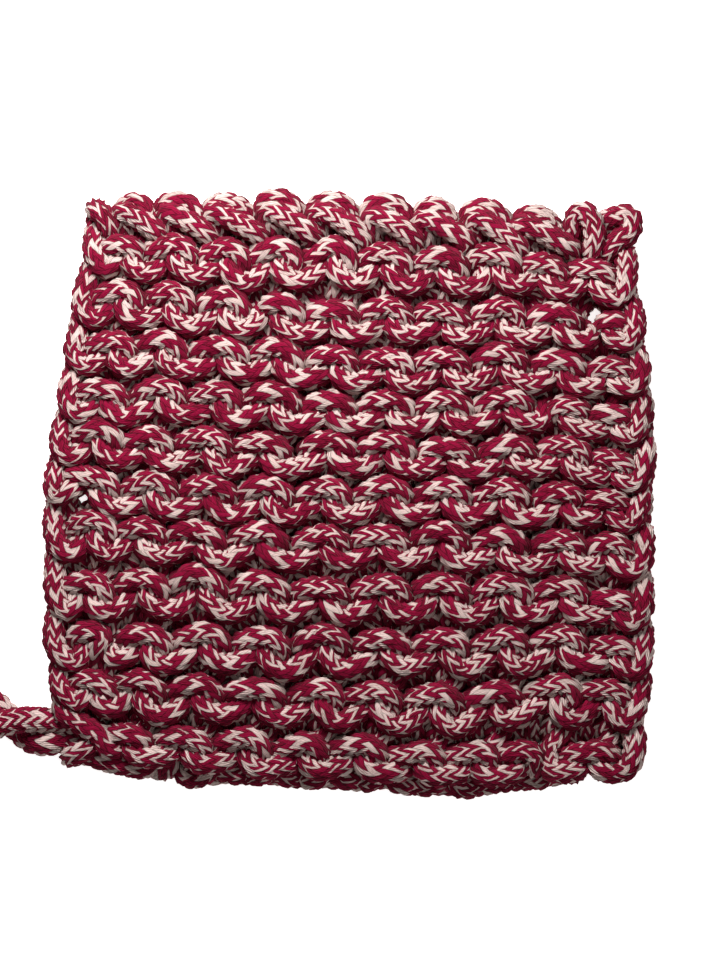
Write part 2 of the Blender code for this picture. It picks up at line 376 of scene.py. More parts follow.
@dataclass(frozen=True)
class OpalAcrylic:
    """Opal acrylic sheet, cast and lit from below: a white table on which shadows stay faint."""

    name: str = "opal_acrylic_light_table"
    white: str = "#FBFAF9"
    off_white: str = "#F6F5F4"
    roughness: float = 0.6
    glow: float = 0.88
    stipple: float = 3.0  # the size of the sheet's faint marks

    def material(self) -> Material:
        """Make the material."""
        material, add = fresh_material(self.name)
        place = add("TexCoord").outputs["Object"]
        marks = add("TexNoise", named={"Vector": place, "Scale": 1 / (self.stipple * MM)})
        colour = add("Mix", marks, self.white, self.off_white, data_type="RGBA")
        surface = {
            "Base Color": colour,
            "Roughness": self.roughness,
            "Emission Color": colour,
            "Emission Strength": self.glow,
        }
        add("OutputMaterial", add("BsdfPrincipled", named=surface))
        return material


# ---- the cord ----


@dataclass(frozen=True)
class Course:
    """The cord's own line, as evenly spaced rings, with a direction to one side of each."""

    centres: Array
    side: Array
    up: Array
    girth: Array  # the cord's radius at each ring
    bend: Array  # which way the cord turns at each ring, and how sharply, per millimetre

    @classmethod
    def through(
        cls, points: Array, girth: Array, pitch: float, wander: float, seed: int
    ) -> "Course":
        """Lay rings along a line of points, turning as little as they can from one to the next.

        Args:
            points: the cord's middle line, close together.
            girth: the cord's radius at each point.
            pitch: from one ring to the next.
            wander: the most, in radians, that the cord is twisted either way as it is worked.
            seed: for the twist.

        Returns:
            The course.
        """
        distance = distance_along(points)
        count = int(distance[-1] / pitch)
        places = np.linspace(0, distance[-1], count)
        centres = points_at(places, distance, points)
        ahead = np.gradient(centres, axis=0)
        ahead /= np.linalg.norm(ahead, axis=1)[:, None]
        side = np.empty_like(centres)
        now = np.cross(ahead[0], (0.0, 0.0, 1.0))
        for index in range(count):
            now = now - ahead[index] * np.dot(now, ahead[index])
            now = now / math.sqrt(np.dot(now, now))
            side[index] = now
        up = np.cross(ahead, side)
        bend = np.gradient(ahead, axis=0) * (count - 1) / distance[-1]
        draw = np.random.default_rng(seed)
        turn = np.zeros(count)
        for wave in TWIST_WAVES:
            turn += wander / 2 * np.sin(places / wave * 2 * math.pi + draw.uniform(0, TWIST_START))
        cos, sin = np.cos(turn)[:, None], np.sin(turn)[:, None]
        radius = np.interp(places, distance, girth)
        return cls(centres, side * cos + up * sin, up * cos - side * sin, radius, bend)


@dataclass(frozen=True)
class Braid:
    """A soft round braid of 20 strands, each passing over two and under two.

    Half of the strands wind one way and half the other. A strand shows as a short slanting bar,
    two crossings long, and the bars of the two ways meet in V shapes along the cord. The mesh has
    a vertex at each crossing, at each meeting of four, and halfway between, so that every bar
    stands out from the cord with a rounded back.
    """

    PLACE = "strand_place"
    TONE = "strand_tone"

    width: float = CORD_WIDTH
    strands: int = 20
    lay_angle: float = 35.0  # of a strand to the cord, in degrees
    crown: float = 0.36  # how far a bar's back stands over the cord's mean surface
    ridge: float = 0.50  # the same, halfway along the bar
    groove: float = -0.36  # where two bars meet
    pit: float = -0.58  # where four meet
    unevenness: float = 0.14  # of one bar to another
    seed: int = 11
    tucked: float = 0.8  # of a bend's radius, the most that the cord's inner side takes up
    straight: float = 0.001  # the least bend that counts, per millimetre
    # A strand is plied, so its natural yarn shows along one side, or across it, or not at all.
    twist: tuple[Strand, ...] = (
        Strand.CREAM_FIRST, Strand.CREAM_FIRST, Strand.CREAM, Strand.CREAM_LAST,
        Strand.CREAM_FIRST, Strand.CRIMSON, Strand.CRIMSON, Strand.CREAM_FIRST,
        Strand.CREAM_FIRST, Strand.CRIMSON,
    )
    twist_pace: float = 0.6  # how much of that is passed from one bar to the strand's next
    twist_step: int = 3  # how much further a strand has got than its neighbour
    other_way_ahead: int = 5  # and the strands that wind the other way
    # Uneven numbers, so that no two bars near each other get the same tone.
    tone_steps: tuple[float, float, float] = (12.9898, 78.233, 37.719)
    tone_spread: float = 43758.5453
    map_margin: float = 0.02  # round each strip of the flat map

    @property
    def pitch(self) -> float:
        """From one ring of crossings to the next."""
        half_step = math.pi * self.width / self.strands
        return half_step / math.tan(math.radians(self.lay_angle))

    def object(
        self, name: str, course: Course, start: int, end: int, material: Material
    ) -> Object:
        """Make one piece of the cord as an object.

        Args:
            name: the piece's name.
            course: the whole cord's rings.
            start: the piece's first ring.
            end: its last ring.
            material: its finish.

        Returns:
            The new object, linked to the scene.
        """
        rings = np.arange(start, end + 1)
        ring_grid, turn_grid = np.meshgrid(rings, np.arange(self.strands), indexing="ij")
        crossing = (ring_grid + turn_grid) % 2 == 1
        draw = np.random.default_rng(start + self.seed)
        uneven = draw.uniform(-self.unevenness, self.unevenness, crossing.shape)
        lift = np.where(crossing, self.crown + uneven, self.pit)
        outer = self.surface(course, ring_grid, turn_grid, lift)

        low, turn = ring_grid[:-1], turn_grid[:-1]
        on_a_bar = self.middle_is_on_a_bar(low, turn)
        rise = np.where(on_a_bar, self.ridge, self.groove)
        middle = self.surface(course, low + 0.5, turn + 0.5, rise)

        points = np.vstack([outer.reshape(-1, 3), middle.reshape(-1, 3)])
        faces, corners = self.fans(len(rings), low, turn)
        mesh = bpy.data.meshes.new(name)
        mesh.from_pydata((points * MM).tolist(), [], faces.tolist())
        self.mark_strands(mesh, corners)
        self.lay_out_for_baking(mesh, corners, start, len(rings))
        mesh.shade_smooth()
        mesh.materials.append(material)
        return put_in_scene(name, mesh)

    def surface(self, course: Course, ring: Array, turn: Array, lift: Array) -> Array:
        """Points on the cord.

        Args:
            course: the cord's rings.
            ring: each point's place along the cord, counted in rings.
            turn: its place round the cord, counted in strands.
            lift: how far it stands over the cord's mean surface.

        Returns:
            The points, in a grid as the places were.
        """
        below = np.floor(ring).astype(int)
        above = np.ceil(ring).astype(int)
        known = (course.centres, course.side, course.up, course.girth, course.bend)
        centre, side, up, radius, bend = ((of[below] + of[above]) / 2 for of in known)
        angle = turn * (2 * math.pi / self.strands)
        outwards = side * np.cos(angle)[..., None] + up * np.sin(angle)[..., None]
        inside_bend = np.maximum((bend * outwards).sum(-1), self.straight)
        reach = np.minimum(radius + lift, self.tucked / inside_bend)
        return centre + outwards * reach[..., None]

    @staticmethod
    def middle_is_on_a_bar(ring: Array, turn: Array) -> Array:
        """Whether the middle of each square of the grid lies on one bar, and not between two."""
        one_way_column = turn % 4 == 0
        other_way_column = turn % 4 == 2
        starts_at_crossing = (ring + turn) % 2 == 1
        return (one_way_column & starts_at_crossing) | (other_way_column & ~starts_at_crossing)

    def fans(self, rings: int, low: Array, turn: Array) -> tuple[Array, Array]:
        """The faces of the grid: four round the middle of each square.

        Args:
            rings: how many rings the piece has.
            low: the ring below each square.
            turn: the strand before each square.

        Returns:
            The corners of every face as vertex numbers, and as places (ring, turn) in the grid.
        """
        strands = self.strands
        row = np.arange(rings - 1)[:, None] * strands + np.zeros((1, strands), int)
        here = row + np.arange(strands)
        after = row + (np.arange(strands) + 1) % strands
        middle = rings * strands + here
        border = (
            (here, low, turn),
            (after, low, turn + 1),
            (after + strands, low + 1, turn + 1),
            (here + strands, low + 1, turn),
        )
        faces, places = [], []
        for first, second in zip(border, border[1:] + border[:1]):
            faces.append(np.stack([first[0], second[0], middle], -1))
            ring_of = np.stack([first[1], second[1], low + 0.5], -1)
            turn_of = np.stack([first[2], second[2], turn + 0.5], -1)
            places.append(np.stack([ring_of, turn_of], -1))
        faces = np.stack(faces, 2).reshape(-1, 3)
        places = np.stack(places, 2).reshape(-1, 3, 2)
        return faces, places

    def mark_strands(self, mesh: Mesh, corners: Array) -> None:
        """Write where each face lies on its strand, and what the strand is made of.

        Args:
            mesh: the piece's mesh.
            corners: the (ring, turn) place of each face's corners.
        """
        whole = corners[:, :2]
        odd = (whole.sum(-1) % 2 == 1).argmax(1)
        crossing = whole[np.arange(len(whole)), odd]
        ring_at, turn_at = crossing[:, 0], crossing[:, 1]
        column = turn_at % self.strands
        one_way = column % 4 < 2
        way = np.where(one_way, -1, 1)
        number = turn_at + way * ring_at
        middle = turn_at - way * ring_at + np.where(column % 2 == 0, 1, -1)
        along_cord = corners[..., 0] * way[:, None]
        across = (corners[..., 1] + along_cord - number[:, None]) / 2 + 0.5
        along = (corners[..., 1] - along_cord - middle[:, None]) / 2

        carrier = ((number - 1) // 2).astype(int) % (self.strands // 2)
        begins = carrier * self.twist_step + np.where(one_way, 0, self.other_way_ahead)
        middle_ring = (number - middle) * way / 2
        passed = np.floor(middle_ring // 4 * self.twist_pace).astype(int)
        kind = (begins + passed) % len(self.twist)
        make_up = np.array([strand.value for strand in self.twist])[kind]
        values = np.empty((len(corners), 3, 4), np.float32)
        values[..., 0] = across
        values[..., 1] = along
        values[..., 2] = make_up[:, None, 0]
        values[..., 3] = make_up[:, None, 1]
        place = mesh.attributes.new(self.PLACE, "FLOAT_COLOR", "CORNER")
        place.data.foreach_set("color", values.ravel())

        by_number, by_column, by_way = self.tone_steps
        key = number * by_number + (column // 4) * by_column + one_way * by_way
        tones = (np.sin(key) * self.tone_spread) % 1.0
        tone = mesh.attributes.new(self.TONE, "FLOAT", "FACE")
        tone.data.foreach_set("value", tones.astype(np.float32))

    def lay_out_for_baking(self, mesh: Mesh, corners: Array, start: int, rings: int) -> None:
        """Lay the cord's surface out flat in a square map, cut into strips side by side.

        Args:
            mesh: the piece's mesh.
            corners: the (ring, turn) place of each face's corners.
            start: the piece's first ring.
            rings: how many rings it has.
        """
        around = math.pi * self.width
        strips = max(1, round(math.sqrt(rings * self.pitch / around)))
        in_strip = math.ceil((rings - 1) / strips)
        ring = corners[..., 0] - start
        strip = (ring.min(1) // in_strip).astype(int)[:, None]
        margin = self.map_margin
        across = (ring - strip * in_strip) / in_strip * (1 - 2 * margin / strips) + margin / strips
        down = corners[..., 1] / self.strands * (1 - 2 * margin) + margin
        places = np.stack([across, (strip + down) / strips], -1)
        layer = mesh.uv_layers.new(name="OFBake")
        layer.uv.foreach_set("vector", places.astype(np.float32).ravel())


# ---- the stitches ----


class Line(NamedTuple):
    """A line of stitches across the cloth: the heights of its middle line, then its ends."""

    outer_left: float
    inner_left: float
    middle: float
    inner_right: float
    right: float
    outer_right: float
    left_edge: float
    right_edge: float
    second_arch: float
    ninth_arch: float


class RimPoint(NamedTuple):
    """A point on the lower rim, which sags in two shallow curves."""

    x: float
    y: float


class Gap(NamedTuple):
    """A gap between stitches that shows the surface below, placed halfway through the cloth."""

    x: float
    y: float
    half_length: float
    half_width: float
    turn: float


class Tug(NamedTuple):
    """A place where the cord of one row is drawn aside, and how far."""

    row: int
    x: float
    y: float
    reach: float
    right: float
    up: float


class StitchPoint(NamedTuple):
    """A place on a stitch's cord: across from the stitch's middle, up from its line, and height."""

    across: float
    up: float
    height: float

    def turned_over(self) -> "StitchPoint":
        """The same place on a stitch that is worked from the other face of the cloth."""
        return StitchPoint(-self.across, self.up, THICKNESS - self.height)


def stitch_points(*places: Point) -> tuple[StitchPoint, ...]:
    """Places on a stitch, each given as its across, its up and its height."""
    return tuple(StitchPoint(*place) for place in places)


@dataclass(frozen=True)
class StitchMap:
    """Where the stitches lie: the cast-off line, 11 ridges and the cast-on line, from the top."""

    lines: tuple[Line, ...] = (
        Line(88.7, 88.8, 88.3, 86.5, 84.2, 84.5, -84.6, 92.6, -56.2, 58.6),
        Line(74.9, 72.7, 71.8, 70.6, 68.8, 66.3, -86.6, 92.0, -57.8, 62.2),
        Line(59.7, 56.5, 54.5, 52.9, 53.0, 51.2, -89.4, 95.2, -59.4, 64.8),
        Line(44.4, 42.0, 39.6, 39.1, 38.5, 36.7, -92.0, 96.8, -61.0, 66.1),
        Line(29.4, 27.2, 25.7, 24.7, 26.0, 21.8, -93.6, 97.4, -62.6, 67.7),
        Line(14.6, 13.0, 12.7, 11.4, 11.7, 6.8, -96.5, 98.1, -65.8, 69.0),
        Line(-0.2, -2.4, -2.7, -2.7, -3.6, -5.4, -97.4, 97.1, -65.8, 67.4),
        Line(-14.1, -16.7, -17.4, -17.4, -18.4, -20.8, -98.1, 96.5, -67.4, 66.4),
        Line(-32.2, -33.1, -33.3, -33.4, -33.0, -36.9, -97.8, 97.4, -67.4, 67.4),
        Line(-48.8, -50.1, -50.4, -50.9, -49.4, -51.9, -97.8, 97.1, -67.0, 66.7),
        Line(-62.4, -65.0, -65.7, -68.1, -65.0, -66.9, -95.5, 95.8, -68.6, 64.5),
        Line(-79.4, -83.5, -85.4, -87.5, -86.5, -86.3, -93.6, 94.6, -72.2, 56.5),
        Line(-91.0, -92.0, -92.6, -93.8, -93.6, -93.0, -92.0, 92.6, -70.0, 58.0),
    )
    lower_rim: tuple[RimPoint, ...] = (
        RimPoint(-88.6, -87.4), RimPoint(-78.6, -88.5), RimPoint(-51.4, -94.6),
        RimPoint(-35.4, -93.4), RimPoint(-6.6, -95.2), RimPoint(38.2, -97.8),
        RimPoint(70.2, -93.6), RimPoint(91.6, -90.4),
    )
    gaps: tuple[Gap, ...] = (
        Gap(78.1, 57.5, 2.9, 0.7, math.radians(30)),
        Gap(-85.9, -1.8, 1.6, 1.0, math.radians(35)),
    )
    eye_height: float = 620.0  # a gap slants, so that light comes through it to the camera
    least_distance: float = 0.01  # that a point counts as being from a gap

    def line(self, place: float) -> Line:
        """The line at a place down the cloth: 0 is the cast-off, 1 the first ridge."""
        place = min(max(place, 0.0), len(self.lines) - 1)
        above = min(int(place), len(self.lines) - 2)
        share = place - above
        pairs = zip(self.lines[above], self.lines[above + 1])
        return Line(*(a + (b - a) * share for a, b in pairs))

    @staticmethod
    def height_of(line: Line, x: float) -> float:
        """The y of a line's middle at a given x."""
        return float(np.interp(x, HEIGHT_PLACES, line[: len(HEIGHT_PLACES)]))

    @staticmethod
    def across_of(line: Line, stitch: float) -> float:
        """The x of a place along a line, counted in stitches from the first stitch's middle."""
        places = (-0.5, 1, STITCHES - 2, STITCHES - 0.5)
        inner_left = line.left_edge + SELVEDGE_WIDTH
        inner_right = line.right_edge - SELVEDGE_WIDTH
        ends = (inner_left, line.second_arch, line.ninth_arch, inner_right)
        return float(np.interp(stitch, places, ends))

    def in_stitch(self, stitch: float, ridge: float, place: StitchPoint) -> Point:
        """Where a place on a stitch lies in the cloth.

        Args:
            stitch: the stitch, counted from the left.
            ridge: its line, counted from the cast-off.
            place: the place on the stitch.

        Returns:
            The point.
        """
        line = self.line(ridge - place.up / RIDGE_PITCH)
        x = self.across_of(line, stitch + place.across / STITCH_WIDTH)
        return x, self.height_of(line, x), place.height

    def by_edge(self, right: bool, ridge: float, place: StitchPoint) -> Point:
        """Where a place on a selvedge lies: its across is the distance in from the edge."""
        line = self.line(ridge - place.up / RIDGE_PITCH)
        x = line.right_edge - place.across if right else line.left_edge + place.across
        return x, self.height_of(line, x), place.height

    def lower_rim_at(self, x: Array) -> Array:
        """The y of the lower rim."""
        return np.interp(x, [p.x for p in self.lower_rim], [p.y for p in self.lower_rim])

    def keep_inside(self, points: Array, inset: float) -> None:
        """Move points that lie outside the cloth's outline, or in a gap, to its edge.

        Args:
            points: the points, which are changed in place.
            inset: how far inside the outline they stay.
        """
        upwards = self.lines[::-1]
        left, right = (
            np.interp(points[:, 1], *zip(*ends))
            for ends in (
                [(line.outer_left, line.left_edge) for line in upwards],
                [(line.outer_right, line.right_edge) for line in upwards],
            )
        )
        points[:, 0] = np.clip(points[:, 0], left + inset, right - inset)
        top = self.lines[0][: len(HEIGHT_PLACES)]
        highest = np.interp(points[:, 0], HEIGHT_PLACES, top) + CAST_OFF_REACH - inset
        lowest = self.lower_rim_at(points[:, 0]) + inset
        points[:, 1] = np.clip(points[:, 1], lowest, highest)
        points[:, 2] = np.clip(points[:, 2], BACK, FRONT)
        for gap in self.gaps:
            along = np.array([math.cos(gap.turn), math.sin(gap.turn)])
            outwards = 1 + (THICKNESS / 2 - points[:, 2]) / self.eye_height
            from_middle = points[:, :2] - np.outer(outwards, (gap.x, gap.y))
            reach = gap.half_length - gap.half_width
            nearest = np.clip(from_middle @ along, -reach, reach)[:, None] * along
            away = from_middle - nearest
            far = np.maximum(np.linalg.norm(away, axis=1), self.least_distance)
            clear = inset + gap.half_width + BAR_RELIEF
            push = np.clip(clear - far, 0, None) / far
            points[:, :2] += away * push[:, None]


@dataclass(frozen=True)
class CordSettler:
    """Lets the drawn cord find its place, as pulling the cloth about does.

    Runs of cord that lie into each other are pushed apart, down to the closeness at which soft
    cord stays squashed, while the cord resists sharp bends and each part stays near its place.
    """

    step: float = 2.4  # between the points that the cord is followed by
    closest: float = 0.78  # of the knitted cord's width
    rounds: int = 150
    look_again: int = 12  # rounds between two searches for neighbours
    look_further: float = 1.3  # than the closeness at which runs push
    own_length: int = 4  # points along the cord that never count as neighbours
    push: float = 0.5
    stiffness: float = 0.06
    hold: float = 0.05
    longest_move: float = 0.6
    least_gap: float = 0.05  # below which two points count as this far apart

    def neighbours(self, points: Array, reach: float) -> Array:
        """The pairs of points, not close along the cord, that lie within a reach."""
        tree = KDTree(len(points))
        for index, point in enumerate(points):
            tree.insert(point, index)
        tree.balance()
        pairs = []
        for index, point in enumerate(points):
            for _, other, _ in tree.find_range(point, reach):
                if other > index + self.own_length:
                    pairs.append((index, other))
        return np.array(pairs)

    def settle(self, points: Array, fixed: Array, keep: Callable[[Array], None]) -> Array:
        """Move the points to where they rest.

        Args:
            points: the cord's points as drawn.
            fixed: which of them stay where they are.
            keep: moves points that leave the cloth's outline back to it.

        Returns:
            The points at rest.
        """
        drawn = points.copy()
        now = points.copy()
        apart = self.closest * KNITTED_WIDTH
        free = ~fixed
        pairs = np.empty((0, 2), int)
        for turn in range(self.rounds):
            if turn % self.look_again == 0:
                pairs = self.neighbours(now, apart * self.look_further)
            gap = now[pairs[:, 1]] - now[pairs[:, 0]]
            far = np.maximum(np.linalg.norm(gap, axis=1), self.least_gap)
            push = gap * (np.clip(apart - far, 0, None) / far * self.push / 2)[:, None]
            shift = np.zeros_like(now)
            for axis in range(3):
                shift[:, axis] += np.bincount(pairs[:, 1], push[:, axis], len(now))
                shift[:, axis] -= np.bincount(pairs[:, 0], push[:, axis], len(now))
            straighter = np.zeros_like(now)
            straighter[1:-1] = (now[:-2] + now[2:]) / 2 - now[1:-1]
            shift += straighter * self.stiffness + (drawn - now) * self.hold
            moved = now + np.clip(shift, -self.longest_move, self.longest_move)
            keep(moved)
            now[free] = moved[free]
        return now


# ---- the pieces ----


@dataclass(frozen=True)
class CastOnEdge:
    """The cord along the lower edge, from the right corner to the left one."""

    name: str = "cast_on_edge"
    places: StitchMap = StitchMap()
    above_rim: float = 4.6
    height: float = 5.5
    wave_up: float = 0.9  # how far each stitch draws it up
    wave_out: float = 1.5  # and forward
    last_quarter: int = 6  # of a stitch, counted from the first stitch's middle
    corner_start: tuple[Point, ...] = ((88.0, -79.5, 6.0), (88.4, -84.0, 7.0))
    corner_end: tuple[Point, ...] = (
        (-66.0, -89.6, 9.5), (-72.0, -88.0, 11.0), (-78.0, -85.8, 11.0), (-83.5, -82.8, 9.5),
        (-89.0, -80.4, 8.6),
    )

    def route(self) -> list[Point]:
        """Draw the edge.

        Returns:
            The edge's points, up to the hanging loop's lower leg.
        """
        line = self.places.lines[-1]
        points = list(self.corner_start)
        for quarter in range(4 * (STITCHES - 1), self.last_quarter - 1, -1):
            stitch = quarter / 4
            x = self.places.across_of(line, stitch)
            wave = math.cos(2 * math.pi * stitch)
            rim = float(self.places.lower_rim_at(x))
            y = rim + self.above_rim - self.wave_up * wave
            points.append((x, y, self.height + self.wave_out * wave))
        return [*points, *self.corner_end]


@dataclass(frozen=True)
class HangingLoop:
    """The loop at the lower left corner. Its lower leg passes under the upper one."""

    name: str = "hanging_loop_cord"
    # From where the upper leg leaves the cloth to where the lower leg goes back in.
    route: tuple[Point, ...] = (
        (-95.9, -72.7, 9.4), (-100.0, -72.3, 10.2), (-106.0, -72.3, 11.6), (-112.2, -73.6, 12.8),
        (-118.0, -76.2, 12.0), (-124.4, -79.8, 8.2), (-131.4, -82.8, 4.8), (-139.4, -83.0, 4.1),
        (-146.8, -79.2, 4.1), (-150.4, -72.0, 4.1), (-149.4, -64.4, 4.1), (-144.0, -58.8, 4.1),
        (-136.4, -57.6, 4.1), (-129.0, -59.6, 4.1), (-121.8, -63.0, 4.1), (-115.2, -67.6, 4.1),
        (-110.4, -72.4, 4.1), (-106.6, -76.8, 4.4), (-102.4, -79.4, 6.0), (-98.6, -79.9, 8.0),
        (-94.6, -79.7, 9.0),
    )

    def declare(self, piece: Object, width: float, centres: Array) -> None:
        """Hide the hanging loop's part from model.glb.

        Args:
            piece: the loop; not used.
            width: the cord's width; not used.
            centres: its middle line, from the lower leg; not used.
        """
        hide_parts("hanging_loop")


@dataclass(frozen=True)
class KnitRows:
    """The rows of stitches, each with the turn at the selvedge before it.

    A row that is worked from the back shows its stitches' heads as arches on a ridge of the
    front; the next row shows its feet as bowls between them. From the back it is the other
    way about.
    """

    places: StitchMap = StitchMap()
    rows: int = 2 * RIDGES
    last_stitch: float = 0.85  # the height of the stitches by the right selvedge
    tugs: tuple[Tug, ...] = (
        Tug(19, 77.5, 53.5, 8.0, 5.6, -1.6),
        Tug(20, 76.8, 54.8, 4.5, -4.0, -1.0),
        Tug(21, 81.8, 58.0, 4.8, 3.0, 0.3),
        Tug(21, 77.2, 59.0, 5.5, -5.5, 0.8),
        Tug(10, -85.5, -3.5, 5.0, 0.0, -2.5),
        Tug(11, -86.5, -1.5, 6.0, -3.6, 0.6),
        Tug(12, -87.2, -3.2, 6.0, -3.0, 4.5),
    )
    stitch: tuple[StitchPoint, ...] = stitch_points(
        (-8.95, -5.2, 15.4), (-5.3, -3.2, 14.8), (-2.9, 0.3, 11.8), (-2.6, 2.4, 8.6),
        (-3.4, 4.4, 8.0), (-6.0, 7.6, 6.0), (-4.5, 11.0, 4.6), (0.0, 12.6, 3.6), (4.3, 11.0, 4.8),
        (6.0, 7.4, 9.5), (4.0, 4.0, 10.5), (1.9, 0.9, 12.8), (4.4, -3.1, 14.8), (8.95, -5.2, 15.4),
    )
    left_turn: tuple[StitchPoint, ...] = stitch_points(
        (5.4, -3.4, 15.2), (3.9, 0.5, 14.8), (3.9, 6.0, 13.6), (4.4, 11.0, 11.6), (6.0, 14.6, 9.5),
        (5.4, 12.2, 6.0), (4.2, 7.5, 4.6), (5.2, 4.6, 4.0),
    )
    right_turn: tuple[StitchPoint, ...] = stitch_points(
        (5.0, -11.0, 4.0), (3.9, -7.0, 4.3), (3.9, -1.0, 4.8), (4.2, 6.0, 6.5), (5.0, 11.0, 9.8),
        (4.1, 8.0, 13.5), (4.7, 3.5, 15.0), (6.3, -1.0, 15.3),
    )
    # From the hanging loop's upper leg, round the corner and into the first row.
    corner_wrap: tuple[Point, ...] = (
        (-90.6, -72.6, 11.0), (-85.0, -73.4, 9.5), (-80.4, -74.6, 9.0), (-78.6, -77.4, 10.5),
        (-81.6, -79.6, 13.5), (-86.4, -81.8, 14.4), (-89.9, -84.2, 12.0), (-89.0, -85.6, 7.5),
        (-84.5, -84.6, 4.0), (-79.6, -83.8, 3.6),
    )
    # The turn between the second row and the third, over the front of the loop's upper leg.
    first_left_turn: tuple[Point, ...] = (
        (-75.4, -82.4, 13.0), (-79.5, -77.4, 15.4), (-84.5, -73.4, 15.4), (-89.0, -69.8, 14.8),
        (-91.4, -65.6, 13.4), (-91.2, -61.8, 10.4), (-90.2, -66.0, 6.0), (-88.8, -72.0, 4.2),
    )

    def routes(self) -> dict[str, list[Point]]:
        """Draw every row.

        Returns:
            The points of each row, by its name.
        """
        routes = {}
        for number in range(1, self.rows + 1):
            before = list(self.corner_wrap) if number == 1 else self.turn(number - 1)
            routes[f"knit_row_{number:02d}"] = before + self.row(number)
        return routes

    def row(self, number: int) -> list[Point]:
        """Draw one row of stitches, in the direction that it is worked.

        Args:
            number: the row, from 1 at the cast-on edge. Odd rows run to the right.

        Returns:
            The row's points.
        """
        odd = number % 2 == 1
        ridge = (RIDGES + 1 - (number + 1) // 2) + (0.5 if odd else 0.0)
        shape = self.stitch
        if odd:
            shape = [place.turned_over() for place in reversed(shape)]
        first = 1 if number <= 2 else 0  # the corner's own turns fill the first stitch's place
        points = []
        draw = np.random.default_rng(SEED + number)
        for stitch in range(first, STITCHES):
            shift, lift, swell, lean = draw.normal(0.0, UNLIKE)
            tall = (self.last_stitch if stitch == STITCHES - 1 else 1.0) + swell
            for place in shape[:-1]:
                leant = place.across + lean * place.up
                place = StitchPoint(leant, place.up * tall, place.height)
                x, y, z = self.places.in_stitch(stitch, ridge, place)
                points.append(self.tugged(number, (x + shift, y + lift, z)))
        last = self.places.in_stitch(STITCHES - 1, ridge, shape[-1])
        points.append(self.tugged(number, last))
        if number == 2:
            points.pop(0)
        return points if odd else points[::-1]

    def tugged(self, number: int, point: Point) -> Point:
        """A point of a row, drawn aside where the row is tugged."""
        x, y, z = point
        for tug in self.tugs:
            if tug.row == number:
                share = max(0.0, 1 - math.dist((x, y), (tug.x, tug.y)) ** 2 / tug.reach**2)
                x, y = x + tug.right * share, y + tug.up * share
        return x, y, z

    def turn(self, number: int) -> list[Point]:
        """Draw the selvedge between a row and the next.

        Args:
            number: the row that ends there. An odd one ends at the right.

        Returns:
            The selvedge's points.
        """
        if number == 2:
            return list(self.first_left_turn)
        ridge = RIDGES + 1 - (number + 1) // 2
        right = number % 2 == 1
        shape = self.right_turn if right else self.left_turn
        return [self.places.by_edge(right, ridge, place) for place in shape]


@dataclass(frozen=True)
class CastOffChain:
    """The chain along the upper edge, from the nub at its left to the fastened end."""

    name: str = "cast_off_chain"
    places: StitchMap = StitchMap()
    stitch: tuple[StitchPoint, ...] = stitch_points(
        (-8.95, -11.2, 4.0), (-6.0, -10.6, 4.4), (-3.8, -8.6, 6.2), (-4.2, -5.2, 9.4),
        (-5.4, -1.0, 12.4), (-3.8, 1.2, 14.4), (-0.4, 0.2, 15.2), (5.0, -2.4, 15.4),
        (10.4, -5.2, 15.2), (13.4, -7.8, 13.0), (12.8, -8.2, 8.8), (10.4, -4.2, 7.4),
        (8.0, 0.6, 8.6), (5.4, 3.6, 10.2), (1.2, 5.2, 11.2), (-3.6, 4.0, 10.2), (-6.2, 0.6, 8.0),
        (-5.0, -4.6, 5.4), (0.2, -8.4, 4.6), (4.6, -10.4, 4.2), (8.95, -11.2, 4.0),
    )
    # The nub where the cast-off begins.
    start: tuple[Point, ...] = (
        (-79.6, 73.6, 15.0), (-82.0, 77.6, 13.6), (-82.6, 81.6, 10.6), (-82.4, 84.5, 6.4),
        (-82.4, 88.6, 6.6), (-81.8, 91.4, 10.6), (-78.8, 89.2, 14.4), (-75.4, 86.2, 13.8),
        (-72.8, 83.0, 9.0), (-74.6, 80.0, 5.4),
    )
    # The last stitch, and the end that is passed round the corner and tucked in.
    fastening: tuple[Point, ...] = (
        (67.6, 76.0, 4.5), (69.2, 80.6, 7.0), (71.2, 84.6, 9.4), (71.2, 88.8, 11.0),
        (73.0, 90.6, 12.4), (75.6, 88.8, 14.4), (76.8, 84.6, 15.4), (77.4, 80.2, 15.2),
        (78.0, 76.4, 13.4), (79.0, 75.6, 9.0), (79.6, 79.4, 6.8), (79.6, 83.2, 7.8),
        (80.8, 87.0, 9.8), (83.8, 88.4, 11.4), (87.4, 89.8, 12.6), (89.8, 87.2, 13.6),
        (88.8, 83.0, 14.8), (86.2, 80.4, 15.3), (83.2, 77.6, 14.4), (79.8, 75.2, 11.0),
        (76.0, 74.5, 7.5),
    )

    def route(self) -> list[Point]:
        """Draw the chain.

        Returns:
            The chain's points.
        """
        line = self.places.lines[0]
        points = list(self.start)
        draw = np.random.default_rng(SEED)
        for stitch in range(STITCHES - 1):
            shift, lift = draw.normal(0.0, UNLIKE[:2])
            for place in self.stitch[:-1]:
                x = self.places.across_of(line, stitch + place.across / STITCH_WIDTH) + shift
                y = self.places.height_of(line, x) + place.up + lift
                points.append((x, y, place.height))
        return [*points, *self.fastening]


@dataclass(frozen=True)
class RestingCord:
    """The settled cord, and how far along the drawn cord its points and its pieces lay."""

    points: Array
    places: Array
    spans: dict[str, tuple[float, float]]


